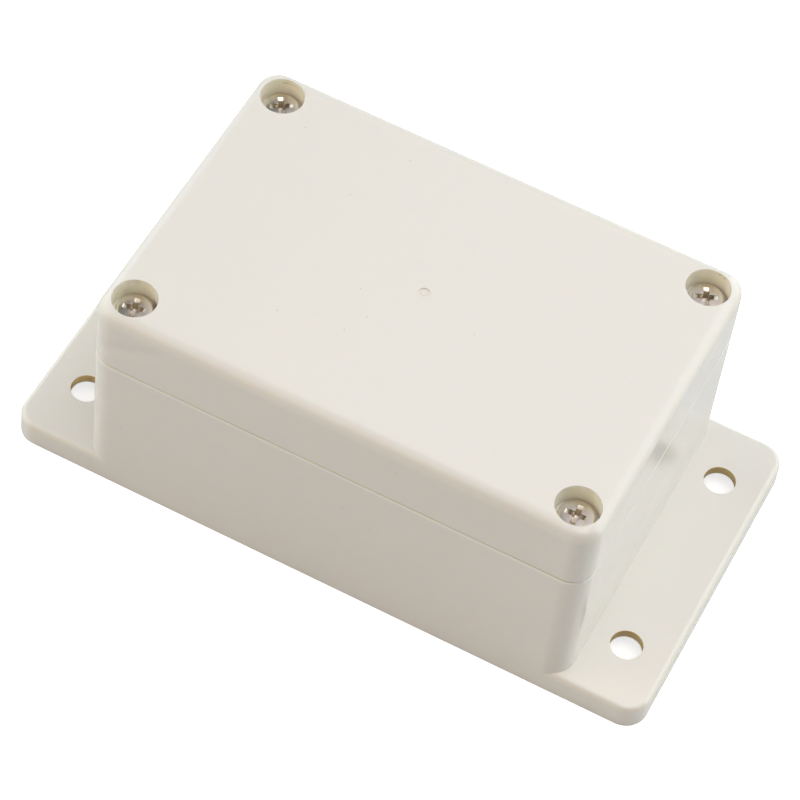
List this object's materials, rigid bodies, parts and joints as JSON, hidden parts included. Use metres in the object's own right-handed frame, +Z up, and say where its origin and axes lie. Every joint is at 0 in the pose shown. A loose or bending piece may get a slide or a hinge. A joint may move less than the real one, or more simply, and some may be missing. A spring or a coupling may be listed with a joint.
{
  "type": "plastic project box",
  "caption": "Closed rectangular plastic enclosure with a screwed, sealed lid and a drilled mounting flange at each end.",
  "frame": {"origin": "middle of the box's underside, on the surface that it is fixed to", "axes": "+X along the length towards the right flange, +Y across towards the back, +Z up through the lid"},
  "size_m": [0.1316, 0.0684, 0.0495],
  "materials": {
    "shell": "smooth moulded ABS, satin gloss",
    "seal": "matte",
    "screw": "bright nickel plate",
    "insert": "turned"
  },
  "bodies": {
    "base": {"base": "shell", "insert_front_left": "insert", "insert_front_right": "insert", "insert_back_left": "insert", "insert_back_right": "insert"},
    "lid": {"lid": "shell", "gasket": "seal"},
    "screw_front_left": {"screw_front_left": "screw"},
    "screw_front_right": {"screw_front_right": "screw"},
    "screw_back_left": {"screw_back_left": "screw"},
    "screw_back_right": {"screw_back_right": "screw"}
  },
  "joints": [
    {"name": "lid_lift", "type": "slide", "parent": "base", "child": "lid", "axis": [0, 0, 1], "range_m": [0, 0.06]},
    {"name": "screw_front_left_turn_out", "type": "slide", "parent": "lid", "child": "screw_front_left", "axis": [0, 0, 1], "range_m": [0, 0.024]},
    {"name": "screw_front_right_turn_out", "type": "slide", "parent": "lid", "child": "screw_front_right", "axis": [0, 0, 1], "range_m": [0, 0.024]},
    {"name": "screw_back_left_turn_out", "type": "slide", "parent": "lid", "child": "screw_back_left", "axis": [0, 0, 1], "range_m": [0, 0.024]},
    {"name": "screw_back_right_turn_out", "type": "slide", "parent": "lid", "child": "screw_back_right", "axis": [0, 0, 1], "range_m": [0, 0.024]}
  ]
}
